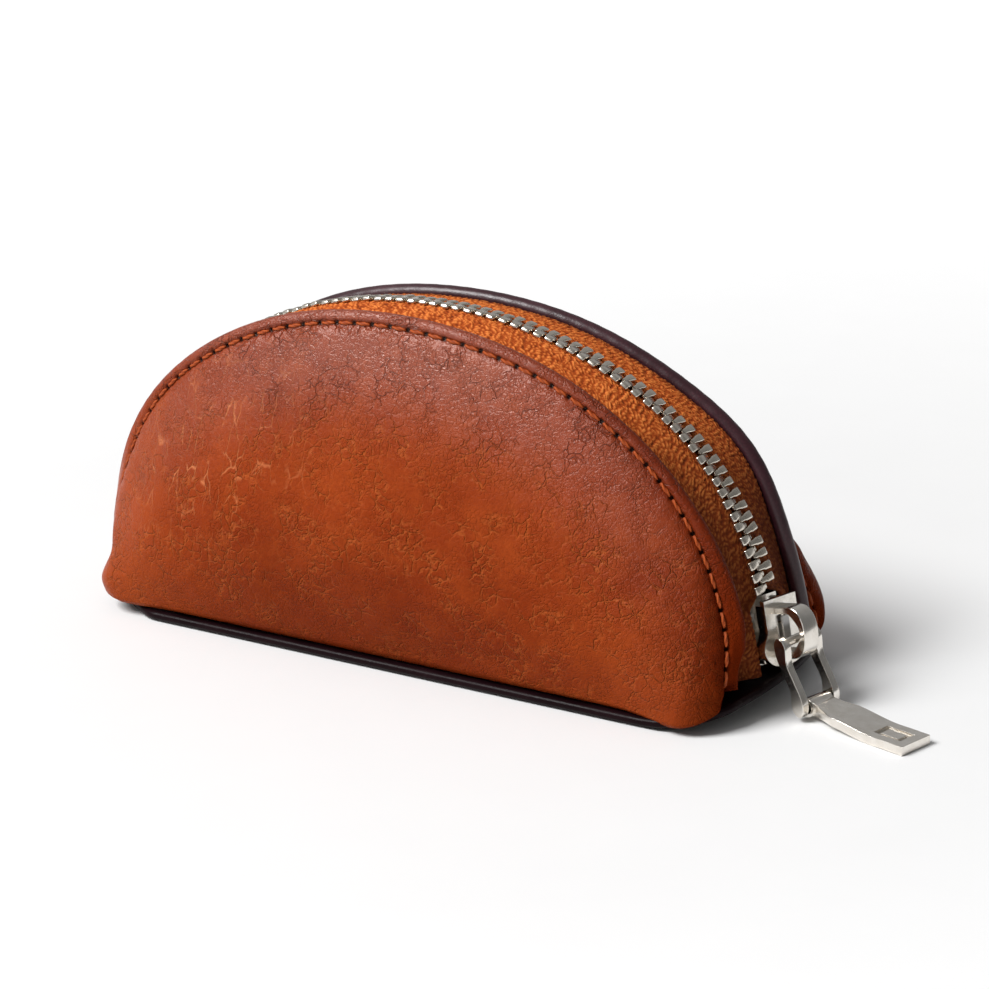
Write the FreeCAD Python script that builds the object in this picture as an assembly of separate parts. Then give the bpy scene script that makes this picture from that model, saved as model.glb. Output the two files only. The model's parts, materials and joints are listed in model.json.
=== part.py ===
import FreeCAD, Part
import math
import os

Vector = FreeCAD.Vector

# Zippered half-moon pouch, millimetres.
# Origin: middle of the flat base where it rests.  +Z up, +X towards the end
# where the slider stops when closed, -Y the front wall.

# ---- zipper chain: teeth lie on an arc about an axis parallel to Y ----
chain_radius = 65.0             # to the outer faces of the teeth
arc_centre_z = -3.75
tooth_pitch = 2.1               # along one row, No. 5 metal chain
tooth_thickness = 0.9
tooth_height = 2.6
tooth_reach = 2.85              # centre line to the clamped end of a tooth
tooth_overlap = 0.7             # how far a tooth head passes the centre line
tooth_head_share = 0.75         # height of a head, share of the tooth's height
tooth_web = 0.25                # solid part of a tooth beyond the tape's edge
tape_slot = 0.8                 # between the two legs of a tooth
tape_thickness = 0.5
tape_inner = 1.1                # tape edge inside the teeth, from centre line
tape_leg_depth = 5.0            # seam allowance turned down behind the edge
tape_half_width_mid = 10.4
tape_half_width_end = 8.8       # before the flare at the ends
end_flare = 2.2                 # each half tape widens by this at its ends
end_flare_start = 58.0          # angle where flare and droop begin
chain_bow = 4.0                 # how far the arch leans to the front at its top
chain_sway = 5.0                # side-to-side S of the chain
bow_angle = 76.0                # the bow is nil from here outwards
first_tooth_angle = -78.0
last_tooth_angle = 70.2
tape_end_angle = 81.5

# ---- leather ----
leather_thickness = 1.3
layer_gap = 0.25
facing_thickness = 0.9
facing_depth = 6.2
facing_stand = 0.15             # above the leather edge
margin_height = 1.6             # leather edge above the tape
edge_droop = 1.6                # the leather edge sinks this much at its ends
panel_end_angle = 80.0
lining_thickness = 0.5
lining_start = 0.16             # below the edge, share of the wall height
lining_finish = 0.985
lining_span = 0.88              # share of the wall's length that is lined
wall_bulge = 5.0
bulge_skew = 1.6                # above 1 puts the bulge low on the wall
bulge_fade = 0.45               # share of the bulge lost by the corners
corner_heading = 50.0           # the bulge turns this far round at the corners

# ---- base ----
base_half_width = 22.5
base_corner_x = 54.0
base_end_x = 62.6               # where the wall ends, beside the zipper
base_tip_x = 64.4               # middle of the end, under the zipper
base_end_half = 13.8            # half width where the walls end
base_thickness = 1.8
base_lip = 0.7                  # base leather beyond the wall seam
base_seam_gap = 0.3
curl_start_x = 48.0             # the base is flat inside this
curl_height = 3.4
corner_share = 0.77             # share of a half wall that lies on the long side
stiffener_thickness = 1.2
stiffener_half_length = 47.0
stiffener_half_width = 19.2
board_corner = 4.0

# ---- stitching along the leather edge ----
stitch_pitch = 3.35
stitch_length = 2.2
stitch_radius = 0.28
stitch_inset = 2.6              # from the leather edge to the stitch line
stitch_gap = 0.06               # thread above the leather
stitch_end = 0.985              # share of a half wall that is stitched
stitch_lowest = 0.9             # no stitch lies further down a wall than this share

# ---- slider, in its own frame: t along the chain, w across, n outwards ----
slider_angle = 76.0
slider_twist = 15.0             # about the chain direction, from the pull's weight
slider_yaw = -5.0               # about the outward direction
slider_nose_t = 5.7
slider_tail_t = -5.7
slider_tail_half = 3.9
slider_wide_half = 5.1
slider_nose_half = 2.8
slider_clear_half = 6.3         # the tape halves part this far around it
slider_clear_angle = 5.6        # and start to part this far before it
plate_inner_n = 1.7
plate_thickness = 0.9
flange_thickness = 0.75
flange_gap_n = 0.6
diamond_half = 1.6
cap_half_width = 1.7
cap_height = 6.0
cap_thickness = 1.2
cap_back_t = -4.3
cap_front_t = 4.3
lock_slot_t = -2.1
lock_slot_half = 0.7
lock_slot_width = 2.4
spring_gap = 0.35               # between the top plate and the leaf
spring_length = 5.2
spring_width = 1.6
spring_thickness = 0.4
prong_width = 1.3
prong_length = 0.6
prong_tip_n = 0.9

# ---- connecting link and pull tab ----
pull_direction_angle = -15.0    # heading of the pull, seen from above, from +X
link_bar_radius = 0.75          # the bar in the bridge and the pins in the tab
link_inner_half = 3.15          # between the arms
link_arm_thickness = 1.5
link_arm_half = 1.1             # half width of an arm round its bar and its pin
link_waist_half = 0.8           # half width of an arm at its middle
link_arm_sway = 0.35            # the arms are bent this much, in an S
link_bar_t = 0.9
link_bar_n = 6.05
link_shift = -0.9               # the link rests against one side of the cap
link_swing = 24.0               # from vertical
tab_pin_z = 1.95
pin_inner_half = 1.2
tab_eye_radius = 1.6
tab_eye_hole = 0.98
tab_eye_half_width = 2.6
tab_half_width = 3.6
tab_length = 20.5
tab_thickness = 1.5
tab_clearance = 0.1             # under the tab when it lies at rest
tab_root = 0.9                  # the shank starts this far from the pins
tab_root_half = 1.25            # half height of the shank there
tab_window = (5.4, 3.6, 0.45)   # length, width and depth of the sunk field
tab_window_margin = 1.8         # from the end of the tab
tab_raised = (3.6, 2.3, 0.3)    # plain raised block inside the field

# ---- stops ----
end_stop_length = 1.3
closing_stop_t = 3.6
closing_stop_w = 3.25           # from the centre line to its middle
closing_stop_width = 1.3
closing_stop_height = 2.2
open_stop_half = 2.2            # half width over both tapes


# ------------------------------------------------------------------ helpers

def polar(angle, radius, y):
    """Point on the arc: angle in degrees from the top towards +X."""
    a = math.radians(angle)
    return Vector(radius * math.sin(a), y, arc_centre_z + radius * math.cos(a))


def chain_y(angle):
    """Sideways place of the chain centre line."""
    k = max(-1.0, min(1.0, angle / bow_angle))
    return (chain_sway * k - chain_bow) * (1.0 - k * k) ** 1.5


def near_end(angle):
    """0 over most of the arch, rising to 1 at the ends of the walls."""
    k = (abs(angle) - end_flare_start) / (panel_end_angle - end_flare_start)
    k = max(0.0, min(1.0, k))
    return k ** 2 * (1.5 - 0.5 * k ** 4)


def tape_half_width(angle):
    k = min(1.0, abs(angle) / panel_end_angle)
    narrowing = (tape_half_width_end - tape_half_width_mid) * k ** 3
    return tape_half_width_mid + narrowing + end_flare * near_end(angle)


tape_radius = chain_radius - tooth_height / 2.0


def edge_radius(angle):
    """Upper edge of the leather."""
    return tape_radius + margin_height - edge_droop * near_end(angle)


def span(first, last, count):
    return [first + (last - first) * i / (count - 1.0) for i in range(count)]


def curve(points):
    spline = Part.BSplineCurve()
    spline.interpolate(points)
    return spline.toShape()


def closed_solid(faces):
    shell = Part.Shell(faces)
    shell.sewShape()
    solid = Part.Solid(shell)
    if solid.Volume < 0:
        solid.reverse()
    return solid


def polygon_face(points):
    return Part.Face(Part.makePolygon(list(points) + [points[0]]))


def band(section, stations):
    """Solid that follows a section (a list of corner points) along stations."""
    rows = [section(s) for s in stations]
    edges = [curve([row[k] for row in rows]) for k in range(len(rows[0]))]
    faces = [Part.makeRuledSurface(edges[k - 1], edges[k]) for k in range(len(edges))]
    faces.append(polygon_face(rows[0]))
    faces.append(polygon_face(rows[-1]))
    return closed_solid(faces)


def clamped_knots(poles, degree):
    inner = poles - degree
    knots = [float(i) for i in range(inner + 1)]
    mults = [degree + 1] + [1] * (inner - 1) + [degree + 1]
    return knots, mults


def skin(rows):
    """Smooth surface with the points as its control net."""
    degree = 3
    knots_u, mults_u = clamped_knots(len(rows), degree)
    knots_v, mults_v = clamped_knots(len(rows[0]), degree)
    surface = Part.BSplineSurface()
    surface.buildFromPolesMultsKnots(rows, mults_u, mults_v, knots_u, knots_v,
                                     False, False, degree, degree)
    return surface


def shell_solid(outer_rows, inner_rows):
    """Solid between two grids of points, with ruled sides."""
    outer = skin(outer_rows)
    inner = skin(inner_rows)
    faces = [outer.toShape(), inner.toShape()]
    u0, u1, v0, v1 = outer.bounds()
    p0, p1, q0, q1 = inner.bounds()
    pairs = [
        (outer.uIso(u0), inner.uIso(p0)),
        (outer.uIso(u1), inner.uIso(p1)),
        (outer.vIso(v0), inner.vIso(q0)),
        (outer.vIso(v1), inner.vIso(q1)),
    ]
    for first, second in pairs:
        faces.append(Part.makeRuledSurface(first.toShape(), second.toShape()))
    return closed_solid(faces)


# --------------------------------------------------------------------- base

curl_run = base_tip_x - curl_start_x
curl_radius = (curl_run ** 2 + curl_height ** 2) / (2.0 * curl_height)


def base_curl(x):
    """Height of the underside of the base: flat, then an arc up to each end."""
    over = max(0.0, abs(x) - curl_start_x)
    return curl_radius - math.sqrt(curl_radius ** 2 - over ** 2)


def wall_foot(side, u):
    """Foot of a wall on the base, u from -1 to 1 along the wall."""
    k = abs(u)
    if k <= corner_share:
        x = base_corner_x * k / corner_share
        y = base_half_width
    else:
        turn = (k - corner_share) / (1.0 - corner_share)
        x = base_corner_x + (base_end_x - base_corner_x) * math.sin(turn * math.pi / 2)
        y = base_half_width + (base_end_half - base_half_width) * turn ** 1.3
    z = base_curl(x) + base_thickness + base_seam_gap
    return Vector(math.copysign(x, u), side * y, z)


def base_outline(inset, z):
    """Closed outline of the base, moved inwards by inset."""
    corner = base_corner_x
    width = base_half_width + base_lip - inset
    round_run = base_end_x - base_corner_x
    right = [
        Vector(corner, -width, z),
        Vector(corner + 0.37 * round_run - inset, -width + 0.17 * round_run, z),
        Vector(corner + 0.74 * round_run - inset, -width + 0.75 * round_run, z),
        Vector(base_end_x + base_lip - inset, -base_end_half + base_lip / 2.0, z),
        Vector(base_tip_x + base_lip - inset, 0, z),
    ]
    right += [Vector(p.x, -p.y, z) for p in reversed(right[:-1])]
    left = [Vector(-p.x, -p.y, z) for p in right]
    front = Part.LineSegment(left[-1], right[0]).toShape()
    back = Part.LineSegment(right[-1], left[0]).toShape()
    return Part.Wire([front, curve(right), back, curve(left)])


def curl_line(raised):
    """Side view of the underside from -X to +X, raised by an amount."""
    far = base_tip_x + 2.0

    def at(x):
        return Vector(x, 0, base_curl(x) + raised)
    middle = (far + curl_start_x) / 2.0
    return [
        Part.Arc(at(-far), at(-middle), at(-curl_start_x)).toShape(),
        Part.LineSegment(at(-curl_start_x), at(curl_start_x)).toShape(),
        Part.Arc(at(curl_start_x), at(middle), at(far)).toShape(),
    ]


def make_base_panel():
    low = curl_line(0.0)
    high = curl_line(base_thickness)
    left = Part.LineSegment(low[0].firstVertex().Point, high[0].firstVertex().Point).toShape()
    right = Part.LineSegment(low[2].lastVertex().Point, high[2].lastVertex().Point).toShape()
    wire = Part.Wire(Part.__sortEdges__(low + high + [left, right]))
    reach = base_half_width + 8.0
    slab = Part.Face(wire).extrude(Vector(0, 2 * reach, 0))
    slab.translate(Vector(0, -reach, 0))
    tall = Part.Face(base_outline(0.0, -5.0)).extrude(Vector(0, 0, 20))
    return slab.common(tall)


def rounded_plate(half_length, half_width, low, thickness, corner):
    plate = Part.makeBox(2 * half_length, 2 * half_width, thickness,
                         Vector(-half_length, -half_width, low))
    upright = [e for e in plate.Edges if abs(e.tangentAt(e.FirstParameter).z) > 0.9]
    return plate.makeFillet(corner, upright)


# -------------------------------------------------------------------- walls

def edge_point(side, u):
    """Top edge of the leather, on its outer side."""
    angle = panel_end_angle * u
    stack = tape_half_width(angle) + facing_thickness + leather_thickness + 2 * layer_gap
    return polar(angle, edge_radius(angle), chain_y(angle) + side * stack)


def wall_point(side, u, down):
    """Outer face of a wall.  down runs from 0 at the edge to 1 at the foot."""
    top = edge_point(side, u)
    foot = wall_foot(side, u)
    point = top + (foot - top) * down
    along = min(1.0, abs(u) / corner_share)
    turn = max(0.0, abs(u) - corner_share) / (1.0 - corner_share)
    spread = (1.0 - turn) ** 2 * (1.0 - bulge_fade * along ** 4)
    swell = wall_bulge * math.sin(math.pi * down ** bulge_skew) * spread
    heading = math.radians(corner_heading) * along ** 6
    outward = Vector(math.copysign(math.sin(heading), u), side * math.cos(heading), 0)
    return point + outward * swell


def wall_normal(side, u, down):
    step = 0.004
    u0, u1 = max(-1.0, u - step), min(1.0, u + step)
    d0, d1 = max(0.0, down - step), min(1.0, down + step)
    along = wall_point(side, u1, down) - wall_point(side, u0, down)
    fall = wall_point(side, u, d1) - wall_point(side, u, d0)
    normal = along.cross(fall)
    normal.normalize()
    return normal * side


def wall_offset(side, u, down, depth):
    return wall_point(side, u, down) - wall_normal(side, u, down) * depth


def wall_layer(side, near, far, u_end, down_start, down_end):
    """Layer of a wall between two depths below its outer face."""
    us = span(-u_end, u_end, 45)
    downs = span(down_start, down_end, 13)
    outer = [[wall_offset(side, u, d, near) for d in downs] for u in us]
    inner = [[wall_offset(side, u, d, far) for d in downs] for u in us]
    return shell_solid(outer, inner)


def make_panel(side):
    return wall_layer(side, 0.0, leather_thickness, 1.0, 0.0, 1.0)


def make_lining(side):
    near = leather_thickness + layer_gap
    return wall_layer(side, near, near + lining_thickness, lining_span, lining_start, lining_finish)


def make_facing(side):
    """Dark leather strip behind the standing edge, beside the tape."""
    def section(angle):
        y = chain_y(angle) + side * (tape_half_width(angle) + layer_gap)
        thick = side * facing_thickness
        top = edge_radius(angle) + facing_stand
        return [polar(angle, top - facing_depth, y), polar(angle, top, y),
                polar(angle, top, y + thick), polar(angle, top - facing_depth, y + thick)]
    return band(section, span(-panel_end_angle, panel_end_angle, 41))


def make_tape(side):
    """Half of the zipper tape, its outer edge turned down behind the leather."""
    opening_start = slider_angle - slider_clear_angle

    def section(angle):
        centre = chain_y(angle)
        inner = tape_inner
        if angle > opening_start:
            inner = slider_clear_half
        y0 = centre + side * inner
        y1 = centre + side * tape_half_width(angle)
        y2 = y1 - side * tape_thickness
        top = tape_radius + tape_thickness / 2.0
        low = tape_radius - tape_thickness / 2.0
        leg = tape_radius - tape_leg_depth
        return [polar(angle, top, y0), polar(angle, top, y1), polar(angle, leg, y1),
                polar(angle, leg, y2), polar(angle, low, y2), polar(angle, low, y0)]
    long_part = band(section, span(-tape_end_angle, opening_start, 45))
    end_part = band(section, span(opening_start + 0.001, tape_end_angle, 9))
    return long_part.fuse(end_part).removeSplitter()


def make_tooth(side, angle):
    """One tooth: a solid head over the centre line and two legs on the tape."""
    half = tooth_height / 2.0
    slot = tape_slot / 2.0
    slot_end = side * (tape_inner - tooth_web)
    head = -side * tooth_overlap
    tail = side * tooth_reach
    head_half = half * tooth_head_share
    profile = [(head, head_half), (head, -head_half), (slot_end, -half), (tail, -half),
               (tail, -slot), (slot_end, -slot), (slot_end, slot), (tail, slot),
               (tail, half), (slot_end, half)]
    centre = chain_y(angle)
    points = [polar(angle, tape_radius + n, centre + w) for w, n in profile]
    a = math.radians(angle)
    tangent = Vector(math.cos(a), 0, -math.sin(a))
    back = tangent * (-tooth_thickness / 2.0)
    face = polygon_face([p + back for p in points])
    return face.extrude(tangent * tooth_thickness)


def make_teeth(side):
    pitch_angle = math.degrees(tooth_pitch / tape_radius)
    start = first_tooth_angle + (0.0 if side < 0 else pitch_angle / 2.0)
    count = int((last_tooth_angle - start) / pitch_angle) + 1
    return Part.makeCompound([make_tooth(side, start + i * pitch_angle) for i in range(count)])


def make_stitching(side):
    """Thread between needle holes, along the edge of a wall and down its ends."""
    stitches = []
    arc = math.radians(2 * panel_end_angle) * edge_radius(0.0)
    count = int(arc / stitch_pitch)
    half = stitch_end * stitch_length / (stitch_pitch * count)
    lift = -(stitch_radius + stitch_gap)
    for i in range(count):
        u = stitch_end * ((2 * i + 1.0) / count - 1.0)
        height = (edge_point(side, u) - wall_foot(side, u)).Length
        down = min(stitch_lowest, stitch_inset / height)
        start = wall_offset(side, u - half, down, lift)
        end = wall_offset(side, u + half, down, lift)
        run = end - start
        stitches.append(Part.makeCylinder(stitch_radius, run.Length, start, run))
    return Part.makeCompound(stitches)


# ------------------------------------------------------------------- slider

def slider_frame():
    """Placement of the slider at rest: X = t, Y = w, Z = n."""
    a = math.radians(slider_angle)
    tangent = Vector(math.cos(a), 0, -math.sin(a))
    outward = Vector(math.sin(a), 0, math.cos(a))
    across = outward.cross(tangent)
    base = FreeCAD.Matrix(
        tangent.x, across.x, outward.x, 0,
        tangent.y, across.y, outward.y, 0,
        tangent.z, across.z, outward.z, 0,
        0, 0, 0, 1)
    place = FreeCAD.Placement(base)
    place.Base = polar(slider_angle, tape_radius, 0)
    twist = FreeCAD.Placement(Vector(0, 0, 0), FreeCAD.Rotation(Vector(1, 0, 0), slider_twist))
    yaw = FreeCAD.Placement(Vector(0, 0, 0), FreeCAD.Rotation(Vector(0, 0, 1), slider_yaw))
    return place.multiply(twist).multiply(yaw)


def in_slider(shape):
    placed = shape.copy()
    placed.Placement = slider_frame().multiply(placed.Placement)
    return placed


def slider_outline(inset):
    """Half-round nose, flared shoulders and a straight tail."""
    tail = slider_tail_half - inset
    wide = slider_wide_half - inset
    nose = slider_nose_half - inset
    front = slider_nose_t - inset
    shoulder = [Vector(-1.6, -tail, 0), Vector(0.4, -tail - 0.35, 0), Vector(1.9, -wide, 0),
                Vector(3.6, -wide + 0.25, 0), Vector(front - 0.6, -nose - 0.5, 0),
                Vector(front, 0, 0)]
    shoulder += [Vector(p.x, -p.y, 0) for p in reversed(shoulder[:-1])]
    back = slider_tail_t + inset
    corners = [shoulder[-1], Vector(back, tail, 0), Vector(back, -tail, 0), shoulder[0]]
    return Part.Wire([curve(shoulder), Part.makePolygon(corners)])


def slider_plate(low, high, inset=0.0):
    face = Part.Face(slider_outline(inset))
    plate = face.extrude(Vector(0, 0, high - low))
    plate.translate(Vector(0, 0, low))
    return plate


def make_slider_body():
    top = plate_inner_n + plate_thickness
    body = slider_plate(plate_inner_n, top).fuse(slider_plate(-top, -plate_inner_n))
    rim_length = 3.4 - slider_tail_t
    for sign in (1, -1):
        low = flange_gap_n if sign > 0 else -plate_inner_n
        high = plate_inner_n if sign > 0 else -flange_gap_n
        ring = slider_plate(low, high).cut(slider_plate(low - 1, high + 1, flange_thickness))
        keep = Part.makeBox(rim_length - 0.4, 20, high - low + 2,
                            Vector(slider_tail_t + flange_thickness + 0.01, -10, low - 1))
        body = body.fuse(ring.common(keep))
    wedge = [Vector(0.4, 0, 0), Vector(3.2, -diamond_half, 0), Vector(4.9, -0.8, 0),
             Vector(4.9, 0.8, 0), Vector(3.2, diamond_half, 0)]
    post = polygon_face(wedge).extrude(Vector(0, 0, 2 * plate_inner_n))
    post.translate(Vector(0, 0, -plate_inner_n))
    body = body.fuse(post)
    slot = Part.makeBox(2 * lock_slot_half, lock_slot_width, 4,
                        Vector(lock_slot_t - lock_slot_half, -lock_slot_width / 2.0, plate_inner_n - 1))
    return in_slider(body.cut(slot).removeSplitter())


def cap_profile(inset):
    """Side view of the bridge over the slider: two legs and a rounded crown."""
    foot = plate_inner_n + plate_thickness
    back = cap_back_t + inset
    front = cap_front_t - inset
    crown = foot + cap_height - inset
    waist = foot + cap_height * 0.45
    middle = (back + front) / 2.0
    rise = Part.BSplineCurve()
    rise.interpolate([Vector(back, 0, waist), Vector(back + 1.1, 0, crown - 0.9),
                      Vector(middle, 0, crown), Vector(front - 1.1, 0, crown - 0.9),
                      Vector(front, 0, waist)])
    low = foot - (0.0 if inset == 0.0 else 1.0)
    legs = Part.makePolygon([Vector(front, 0, waist), Vector(front, 0, low),
                             Vector(back, 0, low), Vector(back, 0, waist)])
    return Part.Wire([rise.toShape(), legs])


def make_slider_cap():
    outer = Part.Face(cap_profile(0.0)).extrude(Vector(0, 2 * cap_half_width, 0))
    inner = Part.Face(cap_profile(cap_thickness)).extrude(Vector(0, 2 * cap_half_width + 2, 0))
    outer.translate(Vector(0, -cap_half_width, 0))
    inner.translate(Vector(0, -cap_half_width - 1, 0))
    return in_slider(outer.cut(inner))


def make_lock_spring():
    """Spring leaf under the bridge, with a prong through the top plate."""
    seat = plate_inner_n + plate_thickness + spring_gap
    middle = (cap_back_t + cap_front_t) / 2.0
    leaf = Part.makeBox(spring_length, spring_width, spring_thickness,
                        Vector(middle - spring_length / 2.0, -spring_width / 2.0, seat))
    prong_height = seat + spring_thickness / 2.0 - prong_tip_n
    prong = Part.makeBox(prong_length, prong_width, prong_height,
                         Vector(lock_slot_t - prong_length / 2.0, -prong_width / 2.0, prong_tip_n))
    return in_slider(leaf.fuse(prong).removeSplitter())


def make_end_stop(side):
    """Closing stop clamped on one tape, in the mouth of the slider."""
    corner = Vector(closing_stop_t, -closing_stop_width / 2.0, -closing_stop_height / 2.0)
    stop = Part.makeBox(end_stop_length, closing_stop_width, closing_stop_height, corner)
    stop.translate(Vector(0, side * closing_stop_w, 0))
    return in_slider(stop)


def make_open_end_stop():
    """Stop across both tapes at the other end of the chain."""
    angle = first_tooth_angle - 1.0
    a = math.radians(angle)
    tangent = Vector(math.cos(a), 0, -math.sin(a))
    half = tooth_height / 2.0
    slot = tape_slot / 2.0
    web = tape_inner - tooth_web
    quarter = [(open_stop_half, half), (open_stop_half, slot), (web, slot)]
    right = quarter + [(w, -n) for w, n in reversed(quarter)]
    profile = right + [(-w, n) for w, n in reversed(right)]
    points = [polar(angle, tape_radius + n, w + chain_y(angle)) for w, n in profile]
    return polygon_face(points).extrude(tangent * -end_stop_length)


# ---------------------------------------------------------- link and pull tab

pull_heading = math.radians(pull_direction_angle)
pull_forward = Vector(math.cos(pull_heading), math.sin(pull_heading), 0)
pull_across = Vector(-math.sin(pull_heading), math.cos(pull_heading), 0)


def link_top():
    return slider_frame().multVec(Vector(link_bar_t, 0, link_bar_n)) + pull_across * link_shift


def tab_pin():
    """Centre of the pins at the lower end of the link."""
    top = link_top()
    drop = top.z - tab_pin_z
    return top - Vector(0, 0, drop) + pull_forward * drop * math.tan(math.radians(link_swing))


def link_arm(near):
    """One arm, from its bar to its pin: round ends, a waist and a slight S."""
    top = link_top()
    run = tab_pin() - top
    length = run.Length
    run.normalize()
    facing = pull_across.cross(run)

    def at(share, half):
        bend = link_arm_sway * math.sin(2.0 * math.pi * share)
        return top + run * (length * share) + facing * (half + bend) + pull_across * near
    middle = (link_arm_half + link_waist_half) / 2.0
    halves = [(0.0, link_arm_half), (0.25, middle), (0.5, link_waist_half),
              (0.75, middle), (1.0, link_arm_half)]
    outline = [at(share, half) for share, half in halves]
    outline.append(at(1.0, 0.0) + run * link_arm_half)
    outline += [at(share, -half) for share, half in reversed(halves)]
    outline.append(at(0.0, 0.0) - run * link_arm_half)
    loop = Part.BSplineCurve()
    loop.interpolate(outline, True)
    return Part.Face(Part.Wire(loop.toShape())).extrude(pull_across * link_arm_thickness)


def make_link():
    """Two arms joined by a bar inside the bridge, with a pin on each for the tab."""
    reach = link_inner_half + link_arm_thickness / 2.0
    bar = Part.makeCylinder(link_bar_radius, 2 * reach, link_top() - pull_across * reach, pull_across)
    link = bar
    for sign in (-1, 1):
        near = link_inner_half if sign > 0 else -link_inner_half - link_arm_thickness
        pin = Part.makeCylinder(link_bar_radius, reach - pin_inner_half,
                                tab_pin() + pull_across * (sign * pin_inner_half), pull_across * sign)
        link = link.fuse(link_arm(near)).fuse(pin)
    return link.removeSplitter()


def tab_frame():
    pin = tab_pin()
    matrix = FreeCAD.Matrix(
        pull_forward.x, pull_across.x, 0, pin.x,
        pull_forward.y, pull_across.y, 0, pin.y,
        0, 0, 1, tab_clearance,
        0, 0, 0, 1)
    return FreeCAD.Placement(matrix)


def make_pull_tab():
    """Cast tab: an eye on the link's pins, a wavy shank and a flat end."""
    rest = tab_pin_z - tab_clearance
    length = tab_length
    thick = tab_thickness
    top = Part.BSplineCurve()
    top.interpolate([Vector(tab_root, 0, rest + tab_root_half), Vector(3.2, 0, rest + 0.75),
                     Vector(7.5, 0, 2.15),
                     Vector(12.5, 0, thick + 0.05), Vector(16.0, 0, thick)])
    low = Part.BSplineCurve()
    low.interpolate([Vector(15.5, 0, 0), Vector(11.0, 0, 0.15), Vector(6.5, 0, 0.75),
                     Vector(3.0, 0, rest - 1.0), Vector(tab_root, 0, rest - tab_root_half)])
    tip = Part.makePolygon([Vector(16.0, 0, thick), Vector(length, 0, thick),
                            Vector(length, 0, 0), Vector(15.5, 0, 0)])
    root = Part.makePolygon([Vector(tab_root, 0, rest - tab_root_half),
                             Vector(tab_root, 0, rest + tab_root_half)])
    profile = Part.Wire([top.toShape(), tip, low.toShape(), root])
    shank = Part.Face(profile).extrude(Vector(0, 2 * tab_half_width, 0))
    shank.translate(Vector(0, -tab_half_width, 0))
    plan = Part.BSplineCurve()
    plan.interpolate([Vector(-1.0, -tab_eye_half_width, -1), Vector(2.6, -tab_eye_half_width, -1),
                      Vector(6.0, -tab_half_width, -1), Vector(9.0, -tab_half_width, -1)])
    other = Part.BSplineCurve()
    other.interpolate([Vector(9.0, tab_half_width, -1), Vector(6.0, tab_half_width, -1),
                       Vector(2.6, tab_eye_half_width, -1), Vector(-1.0, tab_eye_half_width, -1)])
    far = Part.makePolygon([Vector(9.0, -tab_half_width, -1), Vector(length + 1, -tab_half_width, -1),
                            Vector(length + 1, tab_half_width, -1), Vector(9.0, tab_half_width, -1)])
    near = Part.makePolygon([Vector(-1.0, tab_eye_half_width, -1),
                             Vector(-1.0, -tab_eye_half_width, -1)])
    trim = Part.Face(Part.Wire([plan.toShape(), far, other.toShape(), near]))
    shank = shank.common(trim.extrude(Vector(0, 0, 8)))
    eye = Part.makeCylinder(tab_eye_radius, 2 * tab_eye_half_width,
                            Vector(0, -tab_eye_half_width, rest), Vector(0, 1, 0))
    tab = shank.fuse(eye)
    hole = Part.makeCylinder(tab_eye_hole, 4 * tab_eye_half_width,
                             Vector(0, -2 * tab_eye_half_width, rest), Vector(0, 1, 0))
    window_length, window_width, depth = tab_window
    window_middle = length - tab_window_margin - window_length / 2.0
    window = Part.makeBox(window_length, window_width, thick,
                          Vector(window_middle - window_length / 2.0, -window_width / 2.0, thick - depth))
    raised_length, raised_width, rise = tab_raised
    raised = Part.makeBox(raised_length, raised_width, rise + depth,
                          Vector(window_middle - raised_length / 2.0, -raised_width / 2.0,
                                 thick - 2 * depth))
    tab = tab.cut(hole).cut(window).fuse(raised).removeSplitter()
    tab.Placement = tab_frame().multiply(tab.Placement)
    return tab


# --------------------------------------------------------------------- write

stiffener_low = base_thickness + layer_gap
lining_low = stiffener_low + stiffener_thickness + layer_gap

parts = {
    "base_panel": make_base_panel(),
    "base_stiffener": rounded_plate(stiffener_half_length, stiffener_half_width,
                                    stiffener_low, stiffener_thickness, board_corner),
    "base_lining": rounded_plate(stiffener_half_length, stiffener_half_width,
                                 lining_low, lining_thickness, board_corner),
    "open_end_stop": make_open_end_stop(),
    "slider_body": make_slider_body(),
    "slider_cap": make_slider_cap(),
    "lock_spring": make_lock_spring(),
    "connecting_link": make_link(),
    "pull_tab": make_pull_tab(),
}
for wall, side in (("front", -1), ("back", 1)):
    parts[wall + "_panel"] = make_panel(side)
    parts[wall + "_lining"] = make_lining(side)
    parts[wall + "_edge_facing"] = make_facing(side)
    parts[wall + "_zipper_tape"] = make_tape(side)
    parts[wall + "_zipper_teeth"] = make_teeth(side)
    parts[wall + "_closing_stop"] = make_end_stop(side)
    parts[wall + "_edge_stitching"] = make_stitching(side)

os.makedirs("parts", exist_ok=True)
for name, shape in parts.items():
    shape.exportStep(os.path.join("parts", name + ".step"))
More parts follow.
